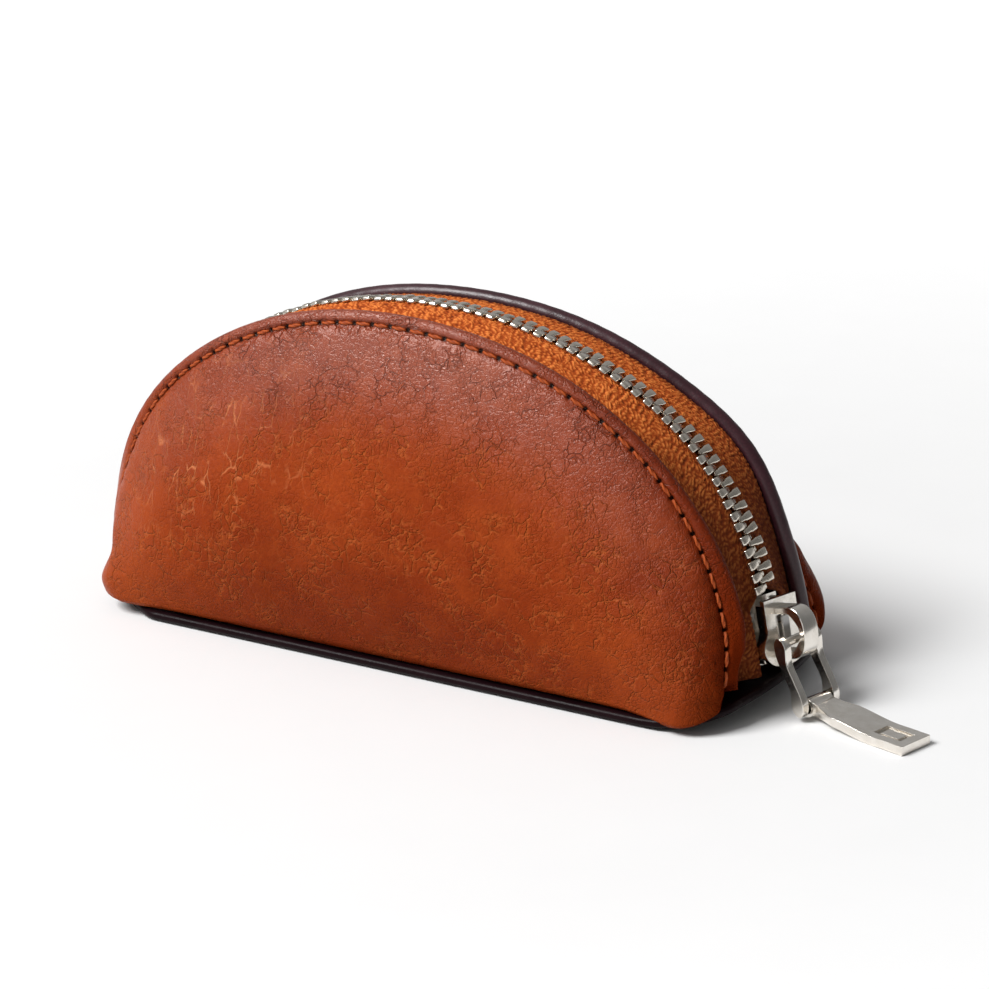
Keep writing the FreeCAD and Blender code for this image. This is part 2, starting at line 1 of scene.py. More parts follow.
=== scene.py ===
import bmesh
import bpy
import json
import math
import numpy as np
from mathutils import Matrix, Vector


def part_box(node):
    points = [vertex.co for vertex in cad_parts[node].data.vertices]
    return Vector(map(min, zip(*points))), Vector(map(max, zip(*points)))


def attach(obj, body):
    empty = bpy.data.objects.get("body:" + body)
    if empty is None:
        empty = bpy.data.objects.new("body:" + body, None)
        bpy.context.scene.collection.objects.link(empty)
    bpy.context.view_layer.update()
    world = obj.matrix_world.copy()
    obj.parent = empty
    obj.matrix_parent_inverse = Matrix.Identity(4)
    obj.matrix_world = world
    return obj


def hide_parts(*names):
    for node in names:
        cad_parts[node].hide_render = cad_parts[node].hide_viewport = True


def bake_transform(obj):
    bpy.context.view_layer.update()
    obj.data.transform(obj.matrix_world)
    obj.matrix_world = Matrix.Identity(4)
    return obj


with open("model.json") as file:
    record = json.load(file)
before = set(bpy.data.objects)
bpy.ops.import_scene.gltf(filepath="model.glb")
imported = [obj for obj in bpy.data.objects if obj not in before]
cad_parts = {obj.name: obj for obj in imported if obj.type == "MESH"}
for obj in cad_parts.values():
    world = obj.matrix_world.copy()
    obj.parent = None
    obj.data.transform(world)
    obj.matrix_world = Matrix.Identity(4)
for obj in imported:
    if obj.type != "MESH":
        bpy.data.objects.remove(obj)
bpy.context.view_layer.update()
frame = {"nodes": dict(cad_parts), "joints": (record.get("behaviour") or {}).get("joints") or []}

# Zippered half-moon pouch.  Shapes are worked out in millimetres and scaled
# once, when a mesh is made.  Arrays hold one point per row.
MM = 0.001
WALLS = {"front": -1, "back": 1}

# ------------------------------------------------- dimensions from the frame

joint_place = {joint["name"]: joint.get("pos_m") for joint in frame["joints"]}
ARC_Z = joint_place["slider_travel"][2] / MM
TAPE_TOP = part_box("front_zipper_tape")[1].z / MM - ARC_Z

# ------------------------------------------------------ dimensions of the CAD

CHAIN_SWAY = 5.0
CHAIN_BOW = 4.0
BOW_ANGLE = 76.0
TOOTH_PITCH = 2.1
TOOTH_RADIUS = TAPE_TOP - 0.25          # middle of the teeth
FIRST_TOOTH = -78.0
LAST_TOOTH = 70.2
TAPE_HALF_MID = 10.4
TAPE_HALF_END = 8.8
END_FLARE = 2.2
END_FLARE_START = 58.0                  # flare and droop begin here, degrees
WALL_ANGLE = 80.0
EDGE_RUN_OUT = 1.5                      # the turned edge runs on this far, degrees
BASE_HALF = 22.5
CORNER_X = 54.0
CORNER_SHARE = 0.77
END_X = 62.6
TIP_X = 64.4
CURL_X = 48.0
CURL_HEIGHT = 3.4
BASE_THICK = 1.8
STACK = 2.7                             # tape edge to the outer face of a wall
FOOT_END = 13.8                         # half width of the pouch at its ends
BULGE = 5.0
BULGE_SKEW = 1.6                        # above 1 puts the bulge low on the wall
BULGE_FADE = 0.45                       # share of the bulge lost by the corners
CORNER_HEADING = 50.0                   # the bulge turns this far round at the corners

# ----------------------------------------------- unevenness of a pouch in use

# Humps along the arch: (millimetres, where, width), the last two in degrees.
ARCH_FLAT_TOP = (0.9, 2.0, 24.0)
ARCH_FULL_RIGHT = (0.7, 47.0, 13.0)
FRONT_FLAT_TOP = (1.35, 6.0, 25.0)
FRONT_FULL_LEFT = (1.1, -54.0, 20.0)
BACK_FLAT_TOP = (2.6, 2.0, 32.0)
BACK_FULL_RIGHT = (1.8, 51.0, 12.0)
WANDER_RIGHT = (0.7, 52.0, 15.0)
WANDER_TOP = (0.55, 0.0, 25.0)
ARCH_END_SINK = 0.5                     # the arch sinks beside the slider
FRONT_SLACK = 0.95                      # the front border rises towards the slider
FRONT_LEFT_DROOP = 2.5
BACK_LEFT_DROOP = 1.5
LEAN_LEFT = 10.0                        # slope of the teeth, degrees
LEAN_LOST = 15.0                        # and how much of it goes towards the slider
LEFT_TUCK = 1.6                         # the left end of the walls stands in this far
PINCH = 1.9                             # and is drawn in this much above its foot
SHOULDER = 2.6                          # the back wall stands out beside the slider
CORNER_PLACE = 0.81                     # the walls turn round their ends here
CORNER_WIDTH = 0.09
CORNER_LOW = 0.86                       # share of the height where a corner is fullest
CORNER_FALL = 0.14
CORNER_FULL_LEFT = 2.3
CORNER_FULL_RIGHT = 1.3
CORNER_SAG = 1.5                        # a corner's foot sags over the base
CORNER_SPREAD = 0.8                     # and spreads
SAG_LEFT = 0.1                          # share of that sag at the left end

# --------------------------------------------------------- look of the pouch

LEATHER = 1.3
ROLL = 1.2                              # radius of the turned margin
MARGIN_RISE = 1.7                       # margin above the tape beside it
STITCH_PITCH = 3.35
STITCH_INSET = 0.9                      # stitches below the outer face's upper end
INSET_GROWTH_LEFT = 2.5                 # and this much more at the ends
INSET_GROWTH_RIGHT = 1.7
INSET_START = 42.0


# ------------------------------------------------------------------- helpers

def smooth(x):
    x = np.clip(x, 0.0, 1.0)
    return x * x * (3.0 - 2.0 * x)


def bell(x, centre, width):
    return np.exp(-((x - centre) / width) ** 2)


def hump(x, height, centre, width):
    return height * bell(x, centre, width)


def polar(angle, radius, y):
    """Points on the arc: angle in degrees from the top towards +X."""
    a = np.radians(angle)
    parts = np.broadcast_arrays(radius * np.sin(a), y, ARC_Z + radius * np.cos(a))
    return np.stack(parts, -1)


def unit(v):
    return v / np.maximum(np.linalg.norm(v, axis=-1, keepdims=True), 1e-9)


def ripples(points, size, seed):
    """Smooth unevenness of about the given size, from crossing waves."""
    rng = np.random.default_rng(seed)
    total = np.zeros(points.shape[:-1])
    waves = 14
    for _ in range(waves):
        direction = unit(rng.normal(size=3)) * 2 * np.pi / (size * rng.uniform(0.7, 1.6))
        total = total + np.sin(points @ direction + rng.uniform(0, 2 * np.pi))
    return total / math.sqrt(waves)


def grid_faces(rows, columns, close_rows=False, close_columns=False):
    """Quads of a grid whose points are stored row by row."""
    i = np.arange(rows if close_rows else rows - 1)
    j = np.arange(columns if close_columns else columns - 1)
    i, j = np.meshgrid(i, j, indexing="ij")
    i2 = (i + 1) % rows
    j2 = (j + 1) % columns
    quads = [i * columns + j, i2 * columns + j, i2 * columns + j2, i * columns + j2]
    return np.stack(quads, -1).reshape(-1, 4)


def make_object(name, points, faces, material, attributes=None):
    mesh = bpy.data.meshes.new(name)
    flat = np.asarray(points, float).reshape(-1, 3) * MM
    mesh.from_pydata(flat.tolist(), [], [list(map(int, f)) for f in faces])
    for key, values in (attributes or {}).items():
        layer = mesh.attributes.new(key, "FLOAT", "POINT")
        layer.data.foreach_set("value", np.asarray(values, np.float32).ravel())
    mesh.materials.append(material)
    obj = bpy.data.objects.new(name, mesh)
    bpy.context.scene.collection.objects.link(obj)
    work = bmesh.new()
    work.from_mesh(mesh)
    bmesh.ops.recalc_face_normals(work, faces=work.faces)
    work.to_mesh(mesh)
    work.free()
    mesh.shade_smooth()
    return obj


def loft(name, sections, material, attributes=None):
    """Closed skin round a row of closed sections, with flat caps."""
    rows, columns = sections.shape[:2]
    faces = [list(f) for f in grid_faces(rows, columns, close_columns=True)]
    faces.append(list(range(columns)))
    faces.append(list(range((rows - 1) * columns, rows * columns)))
    return make_object(name, sections, faces, material, attributes)


def surface_normals(grid, side):
    along = np.gradient(grid, axis=0)
    fall = np.gradient(grid, axis=1)
    return unit(np.cross(along, fall)) * side


# ----------------------------------------------------------- shape functions

def chain_y(angle):
    k = np.clip(angle / BOW_ANGLE, -1.0, 1.0)
    return (CHAIN_SWAY * k - CHAIN_BOW) * (1.0 - k * k) ** 1.5


def near_end(angle):
    """0 over most of the arch, rising to 1 at either end of the walls."""
    k = np.clip((np.abs(angle) - END_FLARE_START) / (WALL_ANGLE - END_FLARE_START), 0.0, 1.0)
    return k ** 2 * (1.5 - 0.5 * k ** 4)


def tape_half(angle):
    k = np.clip(np.abs(angle) / WALL_ANGLE, 0.0, 1.0)
    return TAPE_HALF_MID + (TAPE_HALF_END - TAPE_HALF_MID) * k ** 3 + END_FLARE * near_end(angle)


def sink(angle):
    """The arch is a little flat at its top and full above the slider."""
    return (hump(angle, *ARCH_FLAT_TOP) - hump(angle, *ARCH_FULL_RIGHT)
            + ARCH_END_SINK * smooth((angle - 64.0) / 10.0))


def border_drop(side, angle):
    """How far the tape's outer border lies below a round arch."""
    left_end = near_end(angle) * (angle < 0)
    right_end = near_end(angle) * (angle > 0)
    if side < 0:
        slack = FRONT_SLACK * smooth((angle - 30.0) / 45.0)
        drop = hump(angle, *FRONT_FLAT_TOP) - hump(angle, *FRONT_FULL_LEFT)
        return drop - slack + FRONT_LEFT_DROOP * left_end
    drop = hump(angle, *BACK_FLAT_TOP) - hump(angle, *BACK_FULL_RIGHT)
    return drop + right_end + BACK_LEFT_DROOP * left_end


def lean(angle):
    """Slope of the teeth across the chain, degrees, back end down."""
    return LEAN_LEFT - LEAN_LOST * smooth((angle - 30.0) / 48.0)


def wander(angle):
    """Small sideways drift of the chain inside its tapes."""
    return hump(angle, *WANDER_RIGHT) - hump(angle, *WANDER_TOP)


def stitch_inset(angle):
    """Stitches below the outer face's upper end: further at the ends."""
    growth = np.where(angle < 0, INSET_GROWTH_LEFT, INSET_GROWTH_RIGHT)
    return STITCH_INSET + growth * smooth((np.abs(angle) - INSET_START) / (WALL_ANGLE - INSET_START))


def turn_in(side, u, down):
    """How far the slider's end of the front wall is drawn back along X."""
    if side > 0:
        return np.zeros_like(u * down)
    whole_end = 2.8 * smooth((u - 0.88) / 0.12) * (0.5 + 0.5 * smooth(down))
    last_bit = 1.5 * smooth((u - 0.93) / 0.07)
    return whole_end + last_bit


def base_curl(x):
    run = TIP_X - CURL_X
    radius = (run ** 2 + CURL_HEIGHT ** 2) / (2.0 * CURL_HEIGHT)
    over = np.clip(np.abs(x) - CURL_X, 0.0, radius)
    return radius - np.sqrt(radius ** 2 - over ** 2)


def end_turn(u):
    return np.clip((np.abs(u) - CORNER_SHARE) / (1.0 - CORNER_SHARE), 0.0, 1.0)


def wall_foot(side, u):
    turn = end_turn(u)
    straight = CORNER_X * np.minimum(np.abs(u), CORNER_SHARE) / CORNER_SHARE
    x = straight + (END_X - CORNER_X) * np.sin(turn * np.pi / 2)
    x = x - LEFT_TUCK * smooth((-u - 0.45) / 0.5)
    y = BASE_HALF + (FOOT_END - BASE_HALF) * turn ** 1.3
    z = base_curl(x) + BASE_THICK + 0.3
    return np.stack([np.sign(u) * x, side * y, z], -1)


def wall_edge(side, u):
    """Upper end of a wall's outer face, where the turned margin begins."""
    angle = WALL_ANGLE * u + EDGE_RUN_OUT * np.sign(u) * np.abs(u) ** 10
    radius = TAPE_TOP - border_drop(side, angle) + MARGIN_RISE - ROLL
    return polar(angle, radius, chain_y(angle) + side * (tape_half(angle) + STACK))


def wall_surface(side, u, down):
    """Outer face of a wall without its fine relief."""
    top = wall_edge(side, u)
    foot = wall_foot(side, u)
    point = top + (foot - top) * down[..., None]
    turn = end_turn(u)
    k = np.clip(np.abs(u) / CORNER_SHARE, 0.0, 1.0)
    fade = 1.0 - BULGE_FADE * k ** 4
    swell = BULGE * np.sin(np.pi * down ** BULGE_SKEW) * (1.0 - turn) ** 2 * fade
    corner = bell(np.abs(u), CORNER_PLACE, CORNER_WIDTH)
    fullness = np.where(u > 0, CORNER_FULL_RIGHT, CORNER_FULL_LEFT)
    swell = swell + fullness * corner * bell(down, CORNER_LOW, CORNER_FALL)
    pinch = PINCH * smooth((-u - 0.58) / 0.3) * np.sin(np.pi * down ** 2)
    swell = swell - pinch
    if side > 0:
        swell = swell + SHOULDER * bell(u, 0.80, 0.13) * np.sin(np.pi * down ** 1.5) ** 2
    heading = np.radians(CORNER_HEADING) * k ** 6
    outward = [np.sign(u) * np.sin(heading), side * np.cos(heading), np.zeros_like(u)]
    point = point + np.stack(np.broadcast_arrays(*outward), -1) * swell[..., None]
    sag = corner * smooth((down - CORNER_LOW) / CORNER_FALL) * np.where(u > 0, 1.0, SAG_LEFT)
    point[..., 2] -= CORNER_SAG * sag
    point[..., 0] -= turn_in(side, u, down)
    sideways = np.stack([np.sign(u), np.full_like(u, side), np.zeros_like(u)], -1)
    point += sideways * (CORNER_SPREAD * sag)[..., None]
    return point


# ------------------------------------------------------------ node materials

class Shade:
    """A material being built: short ways to add and join nodes."""

    def __init__(self, name):
        self.material = bpy.data.materials.new(name)
        self.material.use_nodes = True
        self.tree = self.material.node_tree
        self.shader = self.tree.nodes["Principled BSDF"]
        self.place = self.add("ShaderNodeTexCoord").outputs["Object"]

    def add(self, kind, inputs=None, **settings):
        node = self.tree.nodes.new(kind)
        for key, value in settings.items():
            setattr(node, key, value)
        for key, value in (inputs or {}).items():
            if isinstance(value, bpy.types.NodeSocket):
                self.tree.links.new(value, node.inputs[key])
            else:
                node.inputs[key].default_value = value
        return node

    def math(self, operation, first, second=0.0, third=0.0):
        node = self.add("ShaderNodeMath", {0: first, 1: second, 2: third}, operation=operation)
        return node.outputs[0]

    def noise(self, scale, detail=3.0, roughness=0.55, place=None, distortion=0.0):
        inputs = {"Vector": place or self.place, "Scale": scale, "Detail": detail,
                  "Roughness": roughness, "Distortion": distortion}
        return self.add("ShaderNodeTexNoise", inputs).outputs["Fac"]

    def warped(self, scale, amount):
        """The object's own coordinates pushed about by noise."""
        noise = self.add("ShaderNodeTexNoise", {"Vector": self.place, "Scale": scale, "Detail": 2.0})
        centred = self.add("ShaderNodeVectorMath", {0: noise.outputs["Color"], 1: (0.5, 0.5, 0.5)},
                           operation="SUBTRACT").outputs[0]
        pushed = self.add("ShaderNodeVectorMath", {0: centred, "Scale": amount}, operation="SCALE")
        return self.add("ShaderNodeVectorMath", {0: self.place, 1: pushed.outputs[0]},
                        operation="ADD").outputs[0]

    def cracks(self, scale, place, low, high):
        """1 on the borders between cells, 0 inside them."""
        cells = self.add("ShaderNodeTexVoronoi", {"Vector": place, "Scale": scale},
                         feature="DISTANCE_TO_EDGE").outputs["Distance"]
        return self.ranged(cells, low, high, 1.0, 0.0)

    def streaks(self, lean, fine, long):
        """Thin lines that run one way, broken and a little crooked."""
        scale = (1.0 / fine, 1.0 / fine, 1.0 / long)
        turned = self.add("ShaderNodeMapping", {"Vector": self.warped(160.0, 0.0040),
                                                "Rotation": (0.0, lean, 0.0), "Scale": scale})
        lines = self.cracks(1.0, turned.outputs[0], 0.0, 0.05)
        return self.math("MULTIPLY", lines, self.ranged(self.noise(260.0, 2.0), 0.46, 0.58))

    def ranged(self, value, low, high, to_low=0.0, to_high=1.0):
        inputs = {"Value": value, "From Min": low, "From Max": high, "To Min": to_low, "To Max": to_high}
        return self.add("ShaderNodeMapRange", inputs).outputs[0]

    def mix(self, factor, first, second, blend="MIX"):
        node = self.add("ShaderNodeMix", {0: factor}, data_type="RGBA", blend_type=blend)
        for socket, value in ((node.inputs[6], first), (node.inputs[7], second)):
            if isinstance(value, bpy.types.NodeSocket):
                self.tree.links.new(value, socket)
            else:
                socket.default_value = (*value, 1.0)
        return node.outputs[2]

    def attribute(self, name):
        return self.add("ShaderNodeAttribute", attribute_name=name).outputs["Fac"]

    def bump(self, height, strength, distance, below=None):
        inputs = {"Height": height, "Strength": strength, "Distance": distance}
        if below is not None:
            inputs["Normal"] = below
        return self.add("ShaderNodeBump", inputs).outputs[0]

    def finish(self, **sockets):
        for key, value in sockets.items():
            socket = self.shader.inputs[key.replace("_", " ")]
            if isinstance(value, bpy.types.NodeSocket):
                self.tree.links.new(value, socket)
            else:
                socket.default_value = (*value, 1.0) if isinstance(value, tuple) else value
        return self.material


def tan_leather():
    """Cognac leather with a creased grain and a waxed sheen, with painted light and shade in its colour."""
    s = Shade("tan_leather")
    hole = s.attribute("hole")
    edge = s.attribute("edge")
    painted_light = s.attribute("painted_light")
    painted_shade = s.attribute("painted_shade")
    blotch = s.noise(38.0, 4.0, 0.6)
    cloud = s.noise(150.0, 5.0, 0.65)
    net = s.cracks(470.0, s.warped(420.0, 0.0034), 0.0, 0.10)
    fine = s.cracks(1250.0, s.warped(900.0, 0.0012), 0.0, 0.16)
    broken = s.ranged(s.noise(170.0, 3.0), 0.44, 0.60)
    net = s.math("MULTIPLY", net, broken)
    fine = s.math("MULTIPLY", fine, s.ranged(s.noise(210.0, 2.0), 0.38, 0.62, 0.25, 1.0))
    pores = s.noise(5200.0, 2.0, 0.6)
    speckle = s.noise(1500.0, 3.0, 0.7)
    dark = (0.165, 0.0190, 0.0030)
    middle = (0.260, 0.0370, 0.0060)
    light = (0.350, 0.0600, 0.0095)
    colour = s.mix(s.ranged(blotch, 0.34, 0.66), middle, dark)
    colour = s.mix(s.ranged(cloud, 0.42, 0.70, 0.0, 0.6), colour, light)
    colour = s.mix(s.ranged(speckle, 0.35, 0.65, 0.35, 0.0), colour, dark)
    colour = s.mix(s.math("MULTIPLY", fine, 0.22), colour, light)
    # painted highlight and painted shade for the crease lines
    painted_crease_highlight = (0.46, 0.115, 0.026)
    painted_crease_shade = (0.110, 0.0130, 0.0030)
    scratched = (0.60, 0.20, 0.075)
    # painted shade colour, for the parts of the wall that face away from the lamp
    painted_shade_colour = (0.100, 0.0105, 0.0016)
    # darker along the wall's upper edge, over the margin and inside
    darker_edge_colour = (0.175, 0.0210, 0.0042)
    # painted shade in the needle holes
    painted_hole_shade = (0.018, 0.003, 0.001)
    wax = s.attribute("wax")
    # the creases get painted shade where the wax sheen is strong and painted highlight elsewhere
    painted_crease_colour = s.mix(s.ranged(wax, 0.1, 0.5), painted_crease_highlight, painted_crease_shade)
    colour = s.mix(s.math("MULTIPLY", net, 0.42), colour, painted_crease_colour)
    scratches = s.math("MULTIPLY", s.streaks(math.radians(-48.0), 0.0022, 0.013), s.attribute("scuff"))
    colour = s.mix(s.math("MULTIPLY", scratches, 0.75), colour, scratched)
    # painted light: lightens the wall where the lamp falls on it
    colour = s.mix(s.math("MULTIPLY", painted_light, 0.5), colour, light)
    # painted shade: darkens the wall low down, at its right end and along its right edge
    colour = s.mix(s.math("MULTIPLY", painted_shade, 0.80), colour, painted_shade_colour)
    colour = s.mix(s.math("MULTIPLY", edge, 0.3), colour, darker_edge_colour)
    colour = s.mix(s.ranged(hole, 0.12, 0.6), colour, painted_hole_shade)
    rough = s.math("SUBTRACT", s.ranged(cloud, 0.3, 0.7, 0.38, 0.48), s.math("MULTIPLY", wax, 0.09))
    relief = s.math("ADD", s.math("MULTIPLY", net, -1.0), s.math("MULTIPLY", fine, -0.5))
    relief = s.math("ADD", relief, s.math("MULTIPLY", pores, 0.4))
    relief = s.math("ADD", relief, s.math("MULTIPLY", scratches, -0.8))
    normal = s.bump(relief, 1.0, 0.00022)
    return s.finish(Base_Color=colour, Roughness=rough, Normal=normal, Specular_IOR_Level=wax,
                    Specular_Tint=(1.0, 0.86, 0.80))


def dark_leather(name, tone, polish):
    """Aubergine leather, polished where hands rub it."""
    s = Shade(name)
    blotch = s.noise(120.0, 3.0)
    grain = s.cracks(1500.0, s.warped(900.0, 0.0006), 0.0, 0.35)
    pores = s.noise(5200.0, 2.0)
    light = tuple(2.2 * channel for channel in tone)
    colour = s.mix(s.ranged(blotch, 0.3, 0.7), tone, light)
    colour = s.mix(s.math("MULTIPLY", grain, 0.4), colour, (0.007, 0.002, 0.003))
    relief = s.math("ADD", s.math("MULTIPLY", grain, -0.4), s.math("MULTIPLY", pores, 0.2))
    normal = s.bump(relief, 0.35, 0.00008)
    rough = s.ranged(blotch, 0.3, 0.7, 0.30, 0.42)
    return s.finish(Base_Color=colour, Roughness=rough, Normal=normal, Specular_IOR_Level=polish)


def knit_tape():
    """Coarse orange-brown zipper tape; the loops are in the mesh, and its colour holds painted shade and
    painted highlight.
    """
    s = Shade("zipper_tape")
    loop = s.attribute("loop")
    shade = s.attribute("shade")
    fibre = s.noise(6500.0, 3.0, 0.7)
    dots = s.noise(1700.0, 3.0, 0.7)
    # painted shade between the loops and painted highlight on their tops
    painted_knit_shading = s.math("ADD", s.math("MULTIPLY", loop, 0.7), s.math("MULTIPLY", dots, 0.5))
    colour = s.mix(s.ranged(painted_knit_shading, 0.38, 0.64), (0.040, 0.0045, 0.0007), (0.35, 0.058, 0.0065))
    colour = s.mix(s.ranged(painted_knit_shading, 0.66, 0.90), colour, (0.74, 0.215, 0.045))
    # painted shade towards the slider and along the tape's outer border
    colour = s.mix(s.math("MULTIPLY", shade, 0.85), colour, (0.035, 0.0048, 0.0010))
    relief = s.math("ADD", s.math("MULTIPLY", dots, 0.7), s.math("MULTIPLY", fibre, 0.4))
    normal = s.bump(relief, 0.9, 0.00018)
    return s.finish(Base_Color=colour, Roughness=0.8, Normal=normal, Specular_IOR_Level=0.15)


def thread():
    """Waxed thread, with painted shade between its two plies."""
    s = Shade("thread")
    ply = s.attribute("ply")
    fibre = s.noise(5200.0, 2.0)
    # painted shade in the groove between the plies
    colour = s.mix(ply, (0.19, 0.026, 0.004), (0.38, 0.070, 0.012))
    colour = s.mix(s.ranged(fibre, 0.4, 0.7, 0.0, 0.30), colour, (0.48, 0.11, 0.025))
    normal = s.bump(s.math("ADD", ply, s.math("MULTIPLY", fibre, 0.3)), 0.6, 0.00008)
    return s.finish(Base_Color=colour, Roughness=0.6, Normal=normal, Specular_IOR_Level=0.2)


def metal(name, colour, tarnish, low, high):
    """Nickel with faint polishing marks and duller patches."""
    s = Shade(name)
    cloud = s.noise(420.0, 4.0, 0.6)
    scuff = s.noise(2600.0, 3.0, 0.65, distortion=0.6)
    tone = s.mix(s.ranged(cloud, 0.35, 0.75), colour, tarnish)
    rough = s.ranged(s.math("ADD", s.math("MULTIPLY", cloud, 0.6), s.math("MULTIPLY", scuff, 0.4)),
                     0.3, 0.7, low, high)
    normal = s.bump(scuff, 0.12, 0.00004)
    return s.finish(Base_Color=tone, Roughness=rough, Normal=normal, Metallic=1.0)


def lining_fabric():
    """Plain-woven cotton."""
    s = Shade("lining_fabric")
    warp = s.add("ShaderNodeTexWave", {"Vector": s.place, "Scale": 520.0, "Distortion": 0.6,
                                       "Detail": 1.0}, bands_direction="X").outputs["Fac"]
    weft = s.add("ShaderNodeTexWave", {"Vector": s.place, "Scale": 520.0, "Distortion": 0.6,
                                       "Detail": 1.0}, bands_direction="Z").outputs["Fac"]
    weave = s.math("MULTIPLY", warp, weft)
    lint = s.noise(900.0, 3.0)
    colour = s.mix(weave, (0.045, 0.018, 0.013), (0.115, 0.052, 0.036))
    colour = s.mix(s.ranged(lint, 0.4, 0.7, 0.0, 0.3), colour, (0.14, 0.07, 0.05))
    normal = s.bump(weave, 0.7, 0.00015)
    return s.finish(Base_Color=colour, Roughness=0.85, Normal=normal, Sheen_Weight=0.3)


def board():
    """Grey pressed stiffener board."""
    s = Shade("stiffener_board")
    pulp = s.noise(800.0, 5.0, 0.7)
    flecks = s.ranged(s.noise(2400.0, 2.0), 0.62, 0.70)
    colour = s.mix(pulp, (0.20, 0.17, 0.14), (0.34, 0.30, 0.25))
    colour = s.mix(flecks, colour, (0.12, 0.10, 0.08))
    return s.finish(Base_Color=colour, Roughness=0.9, Normal=s.bump(pulp, 0.5, 0.0002))


MATERIALS = {
    "tan_leather": tan_leather(),
    "dark_leather": dark_leather("dark_leather", (0.026, 0.0062, 0.0092), 0.48),
    "base_leather": dark_leather("base_leather", (0.005, 0.0014, 0.0021), 0.07),
    "zipper_tape": knit_tape(),
    "thread": thread(),
    "nickel": metal("nickel", (0.86, 0.82, 0.76), (0.74, 0.69, 0.62), 0.14, 0.26),
    "tooth_nickel": metal("tooth_nickel", (0.80, 0.74, 0.65), (0.60, 0.54, 0.46), 0.16, 0.32),
    "spring_steel": metal("spring_steel", (0.48, 0.47, 0.46), (0.36, 0.35, 0.34), 0.25, 0.4),
    "lining_fabric": lining_fabric(),
    "stiffener_board": board(),
}


def wall_piece(obj, side, slot, *nodes):
    """Bakes a wall piece's placement into its mesh and hides the CAD parts it stands for."""
    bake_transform(obj)
    if nodes:
        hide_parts(*nodes)
    return obj


# -------------------------------------------------------------- wall leather

WALL_COLUMNS = 900
LAST_STITCH = 0.945                     # no stitch nearer to the slider's end than this
EDGE_REACH = 42.0                       # distances from the edge are measured this far
FAR_FROM_EDGE = 60.0                    # and are this beyond it
ROLL_STEPS = 12
FLAP_DEPTH = 4.6
FLAP_STEPS = 7
INNER_STEPS = 34
NEAR_EDGE = 0.085                       # share of the height that holds the stitches
ROWS_NEAR = 30
ROWS_BELOW = 110
HOLE_LENGTH = 0.44                      # along the stitch line
HOLE_HEIGHT = 0.42
HOLE_DEPTH = 0.55
GROOVE_DEPTH = 0.34                     # the thread draws the leather in
GROOVE_WIDTH = 0.55
PUFF = 0.55                             # and the leather stands up below it
LIP = 0.15                              # and a little above it
GATHER = 0.07                           # small puckers, one to a stitch
HEM = 0.5                               # the foot turns in under the wall


def outer_rows():
    """Places down a wall: close together by the stitches, wider below."""
    upper = np.linspace(0.0, NEAR_EDGE, ROWS_NEAR, endpoint=False)
    lower = np.linspace(NEAR_EDGE, 1.0, ROWS_BELOW)
    return np.concatenate([upper, lower])


